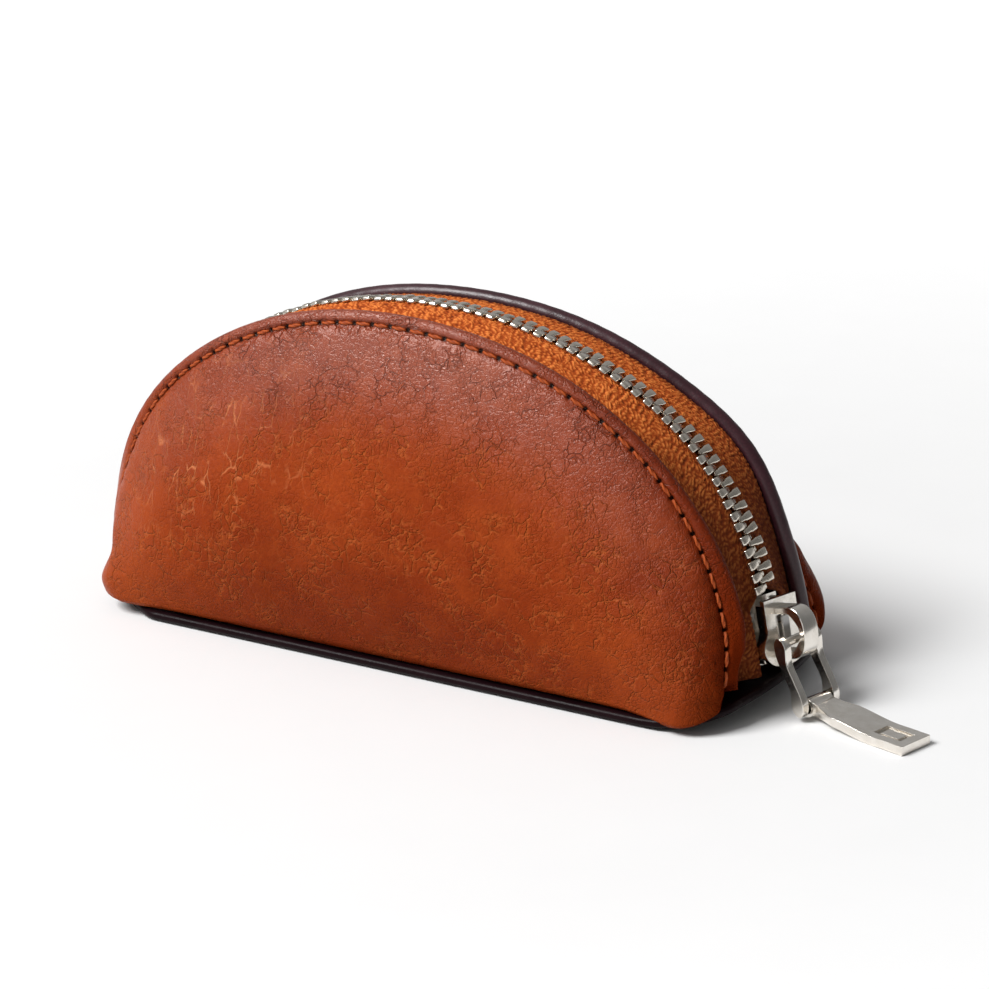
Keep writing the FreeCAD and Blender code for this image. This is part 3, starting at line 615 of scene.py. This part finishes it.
class Wall:
    """Outer face of a wall with its relief, and lines that follow it."""

    def __init__(self, side):
        self.side = side
        self.us = np.linspace(-1.0, 1.0, WALL_COLUMNS)
        self.u, self.down = np.meshgrid(self.us, outer_rows(), indexing="ij")
        self.smooth_face = wall_surface(side, self.u, self.down)
        self.normal = surface_normals(self.smooth_face, side)
        self.measure_edge()
        self.find_stitch_line()
        self.add_relief()
        along = unit(np.gradient(self.smooth_face[:, 0], axis=0))
        self.out = self.normal[:, 0]
        self.above = unit(np.cross(along, self.out))
        self.above *= np.sign(self.above[len(self.us) // 2, 2])

    def measure_edge(self):
        """Each point's distance from the edge, and its place along the edge."""
        edge = self.smooth_face[:, 0]
        ahead = unit(np.gradient(edge, axis=0))
        runs = np.linalg.norm(np.diff(edge, axis=0), axis=-1)
        length = np.concatenate([[0.0], np.cumsum(runs)])
        self.edge_length = length[-1]
        self.from_edge = np.full(self.u.shape, FAR_FROM_EDGE)
        self.along_edge = np.repeat(length[:, None], self.u.shape[1], axis=1)
        for row in range(self.u.shape[1]):
            points = self.smooth_face[:, row]
            fall = np.linalg.norm(points - edge, axis=-1)
            near = np.nonzero(fall < EDGE_REACH)[0]
            if len(near) == 0:
                break
            gaps = np.linalg.norm(points[near, None] - edge[None, ::2], axis=-1)
            best = 2 * np.argmin(gaps, axis=1)
            offset = points[near] - edge[best]
            run = np.sum(offset * ahead[best], axis=-1)
            square = np.sum(offset ** 2, axis=-1) - run ** 2
            self.from_edge[near, row] = np.sqrt(np.maximum(square, 0.0))
            self.along_edge[near, row] = length[best] + run

    def find_stitch_line(self):
        """Points and normals where the distance from the edge is right."""
        points = []
        normals = []
        places = []
        self.inset = stitch_inset(2 * WALL_ANGLE * (self.along_edge / self.edge_length - 0.5))
        past = self.from_edge - self.inset
        for i in range(len(self.us)):
            row = int(np.argmax(past[i] > 0))
            if row < 1 or self.us[i] > LAST_STITCH:
                continue
            a, b = past[i, row - 1], past[i, row]
            t = -a / max(b - a, 1e-6)
            points.append(self.smooth_face[i, row - 1] * (1 - t) + self.smooth_face[i, row] * t)
            normals.append(self.normal[i, row])
            places.append(self.along_edge[i, row - 1] * (1 - t) + self.along_edge[i, row] * t)
        order = np.argsort(places)
        self.line_place = np.array(places)[order]
        self.line_point = np.array(points)[order]
        self.line_normal = np.array(normals)[order]
        first, last = self.line_place[0] + 0.8, self.line_place[-1] - 0.8
        count = int((last - first) / STITCH_PITCH)
        self.pitch = (last - first) / count
        self.holes = first + self.pitch * np.arange(count + 1)

    def stitch_frame(self, place):
        """Points and normals at distances along the stitch line."""
        point = np.stack([np.interp(place, self.line_place, self.line_point[:, k]) for k in range(3)], -1)
        normal = np.stack([np.interp(place, self.line_place, self.line_normal[:, k]) for k in range(3)], -1)
        return point, unit(normal)

    def add_relief(self):
        """Stitch groove, needle holes, puckers and unevenness, as real shape."""
        below = self.from_edge - self.inset
        first = self.holes[0]
        offset = (self.along_edge - first + self.pitch / 2) % self.pitch - self.pitch / 2
        inside = (self.along_edge > first - 1.0) & (self.along_edge < self.holes[-1] + 1.0)
        self.hole_mask = np.exp(-(offset / HOLE_LENGTH) ** 2 - (below / HOLE_HEIGHT) ** 2) * inside
        self.hole_mask *= self.u < LAST_STITCH + 0.01
        stitched = smooth((LAST_STITCH + 0.02 - self.u) / 0.03)
        groove = -GROOVE_DEPTH * np.exp(-(below / GROOVE_WIDTH) ** 2) * stitched
        puff = PUFF * (1 - np.exp(-(np.maximum(below, 0) / 1.5) ** 2)) * np.exp(-(below / 9.0) ** 2)
        lip = LIP * smooth(-below / 1.2)
        gathers = GATHER * np.cos(2 * np.pi * offset / self.pitch) * np.exp(-((below - 0.8) / 1.8) ** 2)
        gathers = gathers * stitched
        face = self.smooth_face
        uneven = 0.16 * ripples(face, 16.0, 3 + self.side) + 0.05 * ripples(face, 4.5, 8 + self.side)
        fade = smooth(self.from_edge / 2.5) * smooth((1.0 - self.down) / 0.04)
        hem = -HEM * smooth((self.down - 0.975) / 0.025)
        relief = groove + puff + lip + gathers + uneven * fade + hem - HOLE_DEPTH * self.hole_mask
        self.face = face + self.normal * relief[..., None]

    def margin(self, share):
        """Points on the margin's round: 0 outer face, 1 inner face."""
        t = (share * np.pi)[None, :, None]
        taper = 1.0 - 0.6 * smooth((np.abs(self.us) - 0.94) / 0.06)
        radius = (ROLL * taper)[:, None, None]
        centre = self.face[:, :1] - self.out[:, None] * radius
        return centre + radius * (self.out[:, None] * np.cos(t) + self.above[:, None] * np.sin(t))

    def behind(self, depth, drop):
        """Points behind the outer face's upper end, below the margin."""
        start = self.face[:, 0][:, None]
        out = self.out[:, None] * depth[None, :, None]
        return start - out - self.above[:, None] * drop[None, :, None]


def leather_looks(wall, hidden_columns):
    """Shares from 0 to 1 that steer the leather's colour and sheen.

    Each is worked out over the outer face, and then for the columns that
    follow it round the margin and inside, where it varies only along the wall.
    """
    u, down, from_edge = wall.u, wall.down, wall.from_edge

    def skin(face, hidden):
        column = np.broadcast_to(hidden, wall.us.shape)[:, None]
        return np.concatenate([face[:, ::-1], np.repeat(column, hidden_columns, axis=1)], axis=1)

    # painted light: lighter at both corners, at the left end and low on the right, where the lamp falls on
    # the wall
    corner = bell(np.abs(u), 0.80, 0.10) * smooth((down - 0.55) / 0.4)
    left = 0.75 * smooth((-u - 0.40) / 0.35)
    right = 0.6 * bell(u, 0.62, 0.16) * smooth((down - 0.40) / 0.3)
    # painted shade: darker low on the wall, at its right end and along its right edge, and over the margin
    # and inside more towards the right
    low = smooth((down - 0.5) / 0.45) * bell(u, -0.1, 0.5)
    right_end = smooth((u - 0.60) / 0.32)
    right_edge = np.exp(-(from_edge / 3.0) ** 2) * smooth((u - 0.25) / 0.3)
    painted_shade = np.clip(0.60 * low + 0.95 * right_end + 0.7 * right_edge, 0.0, 1.0)
    crown = np.exp(-((from_edge - 4.5) / 9.0) ** 2) * bell(u, 0.04, 0.50)
    ridge = bell(u, -0.86, 0.07) * smooth(1.2 - down)
    wax = np.clip(0.04 + crown + ridge, 0.0, 1.0) * (1.0 - right_end)
    return {
        "hole": skin(wall.hole_mask, 0.0),
        "edge": skin(np.exp(-(from_edge / 1.6) ** 2), 1.0),
        "painted_light": skin(np.clip(corner + left + right, 0, 1), 0.0),
        "painted_shade": skin(painted_shade, 0.05 + 0.95 * smooth((wall.us - 0.2) / 0.35)),
        "wax": skin(wax, 0.9 * bell(wall.us, -0.05, 0.5)),
        "scuff": skin(bell(u, -0.46, 0.26) * bell(down, 0.34, 0.26), 0.0),
    }


def wall_leather(wall, name, node):
    """Panel turned over at its edge: one closed skin."""
    rolled = wall.margin(np.linspace(0.0, 1.0, ROLL_STEPS + 1)[1:])
    drops = np.linspace(0.4, FLAP_DEPTH, FLAP_STEPS)
    flap = wall.behind(np.full(FLAP_STEPS, 2 * ROLL - 0.45), drops)
    inner_downs = np.linspace(0.10, 1.0, INNER_STEPS)
    columns = np.searchsorted(outer_rows(), inner_downs - 1e-6)
    inner = wall.smooth_face[:, columns] - wall.normal[:, columns] * LEATHER
    outer = wall.face[:, ::-1]
    sections = np.concatenate([outer, rolled, flap, inner], axis=1)
    looks = leather_looks(wall, sections.shape[1] - outer.shape[1])
    obj = loft(name, sections, MATERIALS["tan_leather"], looks)
    return wall_piece(obj, wall.side, "tan_leather", node)


FACING_DEPTH = 5.4
FACING_ROWS = 9
FACING_SPAN = (-0.94, 0.90)             # the front facing stops short of the ends


def edge_facing(wall, name, node):
    """Dark leather inside the margin; at the back it rolls over the top."""
    side = wall.side
    inner = 2 * ROLL
    if side > 0:
        t = np.linspace(0.08, 0.92, 13)
        centre = (wall.face[:, 0] - wall.out * ROLL)[:, None]
        out = wall.out[:, None]
        up = wall.above[:, None]
        angles = (t * np.pi)[None, :, None]
        over = centre + (ROLL + 0.22) * (out * np.cos(angles) + up * np.sin(angles))
        under = centre + (ROLL - 0.1) * (out * np.cos(angles) + up * np.sin(angles))
        drops = np.linspace(0.3, FACING_DEPTH, FACING_ROWS)
        face = wall.behind(np.full(FACING_ROWS, inner + 0.22), drops)
        back = wall.behind(np.full(FACING_ROWS, inner - 0.35), drops[::-1])
        sections = np.concatenate([over, face, back, under[:, ::-1]], axis=1)
    else:
        drops = np.linspace(0.5, FACING_DEPTH, FACING_ROWS)
        face = wall.behind(np.full(FACING_ROWS, inner + 0.12), drops)
        back = wall.behind(np.full(FACING_ROWS, inner - 0.42), drops[::-1])
        covered = (wall.us > FACING_SPAN[0]) & (wall.us < FACING_SPAN[1])
        sections = np.concatenate([face, back], axis=1)[covered]
    obj = loft(name, sections, MATERIALS["dark_leather"])
    return wall_piece(obj, side, "dark_leather", node)


LINING_SPAN = 0.88
LINING_START = 0.16
LINING_FINISH = 0.985
LINING_NEAR = 0.6                       # behind the leather
LINING_FAR = 1.05


def lining(wall, name, node):
    """Cloth inside a wall, a closed thin sheet."""
    keep = np.abs(wall.us) < LINING_SPAN
    rows = np.unique(np.searchsorted(outer_rows(), np.linspace(LINING_START, LINING_FINISH, 40)))
    face = wall.smooth_face[keep][:, rows]
    normal = wall.normal[keep][:, rows]
    wave = 0.25 * ripples(face, 14.0, 21 + wall.side)[..., None]
    near = face - normal * (LEATHER + LINING_NEAR + wave)
    far = face - normal * (LEATHER + LINING_FAR + wave)
    sections = np.concatenate([near, far[:, ::-1]], axis=1)[::3]
    obj = loft(name, sections, MATERIALS["lining_fabric"])
    return wall_piece(obj, wall.side, "lining_fabric", node)


STITCH_STATIONS = 13
STITCH_SIDES = 10
THREAD_RADIUS = 0.30
THREAD_SINK = 0.40                      # the ends dive this far into the leather
THREAD_RISE = 0.22
THREAD_PLIES = 2
HOLE_MARGIN = 0.4                       # a stitch stops this short of a hole's middle


def stitching(wall, name, node):
    """Thread between neighbouring needle holes, diving in at both ends."""
    points = []
    faces = []
    ply = []
    for start in wall.holes[:-1]:
        t = np.linspace(0.0, 1.0, STITCH_STATIONS)
        place, normal = wall.stitch_frame(start + HOLE_MARGIN + t * (wall.pitch - 2 * HOLE_MARGIN))
        lift = THREAD_RISE * np.sin(np.pi * t) ** 0.6 - THREAD_SINK
        centre = place + normal * lift[:, None]
        along = unit(np.gradient(centre, axis=0))
        across = unit(np.cross(along, normal))
        up = np.cross(across, along)
        radius = THREAD_RADIUS * (0.55 + 0.45 * np.sin(np.pi * t) ** 0.5)
        phi = np.linspace(0, 2 * np.pi, STITCH_SIDES, endpoint=False)
        twist = THREAD_PLIES * phi[None, :] + t[:, None] * 3.4 * np.pi
        swell = radius[:, None] * (1.0 + 0.16 * np.cos(twist))
        ring = (centre[:, None] + across[:, None] * (swell * np.cos(phi))[..., None]
                + up[:, None] * (swell * np.sin(phi))[..., None])
        offset = len(points) * STITCH_STATIONS * STITCH_SIDES
        quads = grid_faces(STITCH_STATIONS, STITCH_SIDES, close_columns=True) + offset
        faces += [list(f) for f in quads]
        faces.append(list(range(offset, offset + STITCH_SIDES)))
        last = offset + (STITCH_STATIONS - 1) * STITCH_SIDES
        faces.append(list(range(last, last + STITCH_SIDES)))
        points.append(ring.reshape(-1, 3))
        ply.append((0.5 + 0.5 * np.cos(twist)).ravel())
    obj = make_object(name, np.concatenate(points), faces, MATERIALS["thread"],
                      {"ply": np.concatenate(ply)})
    return wall_piece(obj, wall.side, "thread", node)


# ------------------------------------------------------------- tape and teeth

TAPE_COLUMNS = 980
TAPE_ROWS = 58
TAPE_END = 81.5
BEAD = 1.1
LOOP_HEIGHT = 0.36
MEET = {-1: (2 * ROLL, 1.4), 1: (2 * ROLL + 0.35, -0.3)}   # tape border: behind, below
CLEAR_HALF = 5.4                        # the tapes part this far for the slider
CLEAR_START = 69.6
CLEAR_RUN = 2.2
WALE = 0.95                             # spacing of the knit across the tape
COURSE = 1.05                           # and along it
TOOTH_REACH = 3.05
TOOTH_BEVEL = 0.24


def tape_floor(side, angle, w):
    """Top of the flat tape at a distance from the chain's middle."""
    fade = 1.0 - smooth((w - 2.5) / 5.0)
    tilt = side * w * np.tan(np.radians(lean(angle))) * fade
    y = chain_y(angle) + wander(angle) * fade + side * w
    return polar(angle, TAPE_TOP - sink(angle) - tilt, y)


def zipper_tape(wall, name, node):
    """Half of the tape: knitted loops on top, plain below."""
    side = wall.side
    angles = np.linspace(-TAPE_END, TAPE_END, TAPE_COLUMNS)
    s = np.linspace(0.0, 1.0, TAPE_ROWS)
    inner = BEAD + (CLEAR_HALF - BEAD) * smooth((angles - CLEAR_START) / CLEAR_RUN)
    outer = tape_half(np.clip(angles, -WALL_ANGLE, WALL_ANGLE)) + 0.15
    w = inner[:, None] + (outer - inner)[:, None] * s[None, :]
    grid = tape_floor(side, angles[:, None], w)
    ids = np.arange(len(wall.us))
    column = np.interp(angles / WALL_ANGLE, wall.us, ids)
    depth, drop = MEET[side]
    meet = wall.behind(np.array([depth]), np.array([drop]))[:, 0]
    meet = np.stack([np.interp(column, ids, meet[:, k]) for k in range(3)], -1)
    pull = smooth((s - 0.12) / 0.88)[None, :, None]
    grid = grid + pull * (meet[:, None] - grid[:, -1:])
    strength = 0.25 + (1.0 if side < 0 else 0.3) * smooth((angles - 20.0) / 40.0)
    sag = strength[:, None] * np.sin(np.pi * s)[None, :] ** 1.5
    outward = polar(angles, 1.0, 0.0) - np.array([0.0, 0.0, ARC_Z])
    outward = outward[:, None]
    length = np.radians(angles)[:, None] * TAPE_TOP
    drift = 0.25 * ripples(grid, 2.3, 31 + side)
    wale = np.sin(2 * np.pi * (w / WALE + drift) + 1.3 * np.sin(2 * np.pi * length / 2.3))
    course = np.sin(2 * np.pi * (length / COURSE + drift) + 2.0 * np.sin(2 * np.pi * w / 1.9))
    loop = 0.5 + 0.25 * wale * course + 0.25 * np.abs(wale) + 0.12 * ripples(grid, 0.9, 41 + side)
    loop = np.clip(loop, 0.0, 1.0)
    edge_fade = smooth(s / 0.05) * smooth((1.0 - s) / 0.04)
    top = grid + outward * (-sag + (LOOP_HEIGHT * loop * edge_fade[None, :]))[..., None]
    low = grid - outward * (sag + 0.45)[..., None]
    sections = np.concatenate([top, low[:, ::-1]], axis=1)
    # painted shade: darker towards the slider's end and along the outer border, where the tape runs in
    # behind the margin
    near_slider = smooth((angles - 32.0) / 34.0)[:, None]
    dark = near_slider * (0.75 + 0.25 * smooth((s - 0.35) / 0.5))[None, :]
    dark = np.maximum(dark, smooth((s - 0.80) / 0.2)[None, :] * 0.8)
    loops = np.concatenate([loop, loop[:, ::-1]], axis=1)
    shade = np.concatenate([dark, dark[:, ::-1]], axis=1)
    obj = loft(name, sections, MATERIALS["zipper_tape"], {"loop": loops, "shade": shade})
    return wall_piece(obj, side, "zipper_tape", node)


def tooth_mesh():
    """One tooth about its middle: x along the chain, y towards its tail,
    z outwards.  The head passes the middle and two legs grip the tape."""
    half = 1.3
    slot = 0.42
    web = 0.85
    tail = TOOTH_REACH
    outline = [(-0.7, 0.72), (-0.45, 0.98), (0.5, 1.12), (web, half), (tail - 0.35, half),
               (tail, half - 0.35), (tail, slot), (web, slot)]
    profile = outline + [(y, -z) for y, z in reversed(outline)]
    work = bmesh.new()
    verts = [work.verts.new((-0.5, y, z)) for y, z in profile]
    face = work.faces.new(verts)
    made = bmesh.ops.extrude_face_region(work, geom=[face])
    moved = [v for v in made["geom"] if isinstance(v, bmesh.types.BMVert)]
    bmesh.ops.translate(work, verts=moved, vec=(1.0, 0.0, 0.0))
    bmesh.ops.recalc_face_normals(work, faces=work.faces)
    sharp = [e for e in work.edges if e.calc_face_angle(0.0) > 0.5]
    bmesh.ops.bevel(work, geom=sharp, offset=TOOTH_BEVEL, segments=3, profile=0.55, affect="EDGES")
    bmesh.ops.triangulate(work, faces=[f for f in work.faces if len(f.verts) > 4])
    points = np.array([v.co for v in work.verts])
    work.verts.index_update()
    faces = [[v.index for v in f.verts] for f in work.faces]
    work.free()
    width = 0.95 + 0.52 * smooth((points[:, 1] - 0.4) / 0.9) - 0.14 * smooth(-points[:, 1] / 0.6)
    points[:, 0] *= width
    return points, faces


def zipper_teeth(wall, name, node):
    """One row of teeth, each a little crooked, out of step with the other."""
    side = wall.side
    points, faces = tooth_mesh()
    pitch = math.degrees(TOOTH_PITCH / TOOTH_RADIUS)
    start = FIRST_TOOTH + (0.0 if side < 0 else pitch / 2)
    places = np.arange(start, LAST_TOOTH + 0.01, pitch)
    rng = np.random.default_rng(50 + side)
    all_points = []
    all_faces = []
    for angle in places:
        jitter = rng.normal(0.0, 1.0, 3)
        a = math.radians(angle)
        tangent = np.array([math.cos(a), 0.0, -math.sin(a)])
        outward = np.array([math.sin(a), 0.0, math.cos(a)])
        slope = math.radians(-side * float(lean(angle)) + 1.2 * jitter[0])
        yaw = math.radians(2.0 * jitter[1])
        across = np.array([0.0, side, 0.0])
        tail = across * math.cos(slope) + outward * math.sin(slope)
        rise = np.cross(tangent, tail)
        rise = rise * np.sign(rise @ outward)
        along = tangent * math.cos(yaw) + tail * math.sin(yaw)
        reach = unit(np.cross(rise, along)) * np.sign(np.cross(rise, along) @ tail)
        middle = polar(angle, TOOTH_RADIUS - sink(angle), chain_y(angle) + wander(angle))
        shape = (middle + points[:, :1] * along + points[:, 1:2] * reach + points[:, 2:] * rise)
        all_faces += [[i + len(all_points) * len(points) for i in f] for f in faces]
        all_points.append(shape)
    obj = make_object(name, np.concatenate(all_points), all_faces, MATERIALS["tooth_nickel"])
    return wall_piece(obj, side, "nickel", node)


def closing_stop(side, name, node):
    """Crimped stop at the end of one tape: the CAD block, rounded."""
    source = frame["nodes"][node].data
    work = bmesh.new()
    work.from_mesh(source)
    bmesh.ops.remove_doubles(work, verts=work.verts, dist=0.002 * MM)
    bmesh.ops.dissolve_limit(work, angle_limit=math.radians(2.0), verts=work.verts, edges=work.edges)
    bmesh.ops.bevel(work, geom=list(work.edges), offset=0.25 * MM, segments=3, profile=0.5,
                    affect="EDGES")
    points = np.array([v.co for v in work.verts]) / MM
    work.verts.index_update()
    faces = [[v.index for v in f.verts] for f in work.faces]
    work.free()
    obj = make_object(name, points, faces, MATERIALS["tooth_nickel"])
    return wall_piece(obj, side, "nickel", node)


# ---------------------------------------------------------------------- base

def base_outline(count):
    """Closed outline of the base, front side first, as points and outward."""
    us = np.linspace(-1.0, 1.0, count)
    front = wall_foot(-1, us)
    back = wall_foot(1, us)[::-1]
    v = np.linspace(-1.0, 1.0, count // 6)[1:-1]
    end_x = END_X + (TIP_X - END_X) * (1.0 - v ** 2)
    right = np.stack([end_x, FOOT_END * v, base_curl(end_x)], -1)
    left = np.stack([-end_x, -FOOT_END * v, base_curl(end_x)], -1)
    line = np.concatenate([front, right, back, left])
    line[:, 2] = 0.0
    ahead = np.roll(line, -1, axis=0) - np.roll(line, 1, axis=0)
    outward = unit(np.stack([ahead[:, 1], -ahead[:, 0], np.zeros(len(line))], -1))
    return line, outward


def base_lip(line):
    """How far the base stands out beyond the walls."""
    lip = np.full(len(line), 0.75)
    left = smooth((-line[:, 0] - 46.0) / 9.0)
    corner = bell(line[:, 0], 56.5, 2.6) * smooth((np.abs(line[:, 1]) - 15.0) / 4.0)
    return lip - 3.6 * left - 1.1 * corner


def closing_rings(border):
    """Rings from the slab's border in towards its middle line."""
    height = border[:, 2] - base_curl(border[:, 0])
    reach = CORNER_X - 14.0
    middle = border.copy()
    middle[:, 0] = np.clip(border[:, 0], -reach, reach)
    middle[:, 1] = 0.0
    rings = []
    for share in (0.25, 0.5, 0.75, 0.94):
        ring = border + (middle - border) * share
        ring[:, 2] = base_curl(ring[:, 0]) + height
        rings.append(ring)
    return rings


def base_panel():
    """Curled slab with a rounded border: (inset, height) steps up its side."""
    steps = [(2.4, 0.0), (1.3, 0.03), (0.65, 0.18), (0.22, 0.5), (0.03, 0.95), (0.12, 1.4),
             (0.45, 1.72), (0.9, 1.82), (2.4, 1.8)]
    line, outward = base_outline(420)
    lip = base_lip(line)
    rows = []
    for inset, height in steps:
        ring = line + outward * (lip - inset)[:, None]
        ring[:, 2] = base_curl(ring[:, 0]) + height
        rows.append(ring)
    rows = closing_rings(rows[0])[::-1] + rows + closing_rings(rows[-1])
    obj = loft("base_leather", np.stack(rows), MATERIALS["base_leather"])
    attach(obj, "base")
    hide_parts("base_panel")


# ------------------------------------------------------------ metal hardware

def dress(node, slot, bevel):
    """Gives a CAD piece its finish and softens its edges."""
    obj = frame["nodes"][node]
    obj.data.materials.clear()
    obj.data.materials.append(MATERIALS[slot])
    weld = obj.modifiers.new("weld", "WELD")
    weld.merge_threshold = 0.000004
    flatten = obj.modifiers.new("flatten", "DECIMATE")
    flatten.decimate_type = "DISSOLVE"
    flatten.angle_limit = math.radians(1.0)
    soften = obj.modifiers.new("soften", "BEVEL")
    soften.width = bevel * MM
    soften.segments = 3
    soften.limit_method = "ANGLE"
    soften.angle_limit = math.radians(35.0)
    return obj


# ------------------------------------------------------------------ assembly

for wall_name, wall_side in WALLS.items():
    wall = Wall(wall_side)
    wall_leather(wall, wall_name + "_leather", wall_name + "_panel")
    edge_facing(wall, wall_name + "_margin_facing", wall_name + "_edge_facing")
    lining(wall, wall_name + "_cloth_lining", wall_name + "_lining")
    stitching(wall, wall_name + "_stitches", wall_name + "_edge_stitching")
    zipper_tape(wall, wall_name + "_tape", wall_name + "_zipper_tape")
    zipper_teeth(wall, wall_name + "_teeth", wall_name + "_zipper_teeth")
    closing_stop(wall_side, wall_name + "_end_stop", wall_name + "_closing_stop")

base_panel()
dress("slider_body", "nickel", 0.16)
dress("slider_cap", "nickel", 0.42)
dress("connecting_link", "nickel", 0.4)
dress("pull_tab", "nickel", 0.14)
dress("lock_spring", "spring_steel", 0.05)
dress("open_end_stop", "nickel", 0.1)
dress("base_stiffener", "stiffener_board", 0.2)
dress("base_lining", "lining_fabric", 0.1)

# --------------------------------------------------- floor, lights and camera

FLOOR_HALF = 3000.0
WORLD_LEFT = 0.42
WORLD_RIGHT = 0.16
KEY_PLACE = (-1.03, -1.32, 1.86)
KEY_TARGET = (0.0, 0.0, 0.03)
KEY_SIZE = 1.1
KEY_POWER = 87.0
CAMERA_AZIMUTH = math.radians(30.0)
CAMERA_HEIGHT = math.radians(19.0)
CAMERA_DISTANCE = 0.579
CAMERA_TARGET = Vector((0.0092, 0.0, 0.0261))
CAMERA_LENS = 124.05


def floor_material():
    """Pale paper that glows a little away from the pouch, to stay white."""
    s = Shade("studio_floor")
    paper = s.noise(60.0, 4.0)
    colour = s.mix(paper, (0.76, 0.76, 0.76), (0.78, 0.78, 0.78))
    away = s.add("ShaderNodeVectorMath", {0: s.place}, operation="LENGTH").outputs["Value"]
    return s.finish(Base_Color=colour, Roughness=0.7, Specular_IOR_Level=0.1,
                    Emission_Color=(1.0, 1.0, 1.0), Emission_Strength=s.ranged(away, 0.11, 0.45, 0.0, 0.3))


def make_floor():
    steps = np.linspace(-FLOOR_HALF, FLOOR_HALF, 9)
    x, y = np.meshgrid(steps, steps, indexing="ij")
    points = np.stack([x, y, np.zeros_like(x)], -1)
    obj = make_object("studio_floor", points, grid_faces(len(steps), len(steps)), floor_material())


def make_key():
    """One soft light, in front on the left."""
    lamp = bpy.data.lights.new("key", "AREA")
    lamp.shape = "SQUARE"
    lamp.size = KEY_SIZE
    lamp.energy = KEY_POWER
    obj = bpy.data.objects.new("key", lamp)
    obj.location = KEY_PLACE
    aim = Vector(KEY_TARGET) - Vector(KEY_PLACE)
    obj.rotation_euler = aim.to_track_quat("-Z", "Y").to_euler()
    bpy.context.scene.collection.objects.link(obj)


def make_world():
    """Grey studio walls, brighter on the left than on the right."""
    world = bpy.data.worlds.new("studio")
    bpy.context.scene.world = world
    world.use_nodes = True
    tree = world.node_tree
    coord = tree.nodes.new("ShaderNodeTexCoord")
    split = tree.nodes.new("ShaderNodeSeparateXYZ")
    tree.links.new(coord.outputs["Generated"], split.inputs[0])
    ramp = tree.nodes.new("ShaderNodeMapRange")
    ramp.inputs["From Min"].default_value = -0.6
    ramp.inputs["From Max"].default_value = 0.8
    ramp.inputs["To Min"].default_value = WORLD_LEFT
    ramp.inputs["To Max"].default_value = WORLD_RIGHT
    tree.links.new(split.outputs["X"], ramp.inputs["Value"])
    background = tree.nodes["Background"]
    background.inputs[0].default_value = (1.0, 1.0, 1.0, 1.0)
    tree.links.new(ramp.outputs[0], background.inputs["Strength"])


def make_camera():
    flat = math.cos(CAMERA_HEIGHT)
    back = Vector((math.sin(CAMERA_AZIMUTH) * flat, -math.cos(CAMERA_AZIMUTH) * flat,
                   math.sin(CAMERA_HEIGHT)))
    camera = bpy.data.objects.new("camera", bpy.data.cameras.new("camera"))
    camera.location = CAMERA_TARGET + back * CAMERA_DISTANCE
    camera.rotation_euler = (-back).to_track_quat("-Z", "Y").to_euler()
    camera.data.sensor_width = 36.0
    camera.data.lens = CAMERA_LENS
    bpy.context.scene.collection.objects.link(camera)
    bpy.context.scene.camera = camera


make_floor()
make_world()
make_key()
make_camera()
bpy.context.scene.view_settings.view_transform = "Standard"
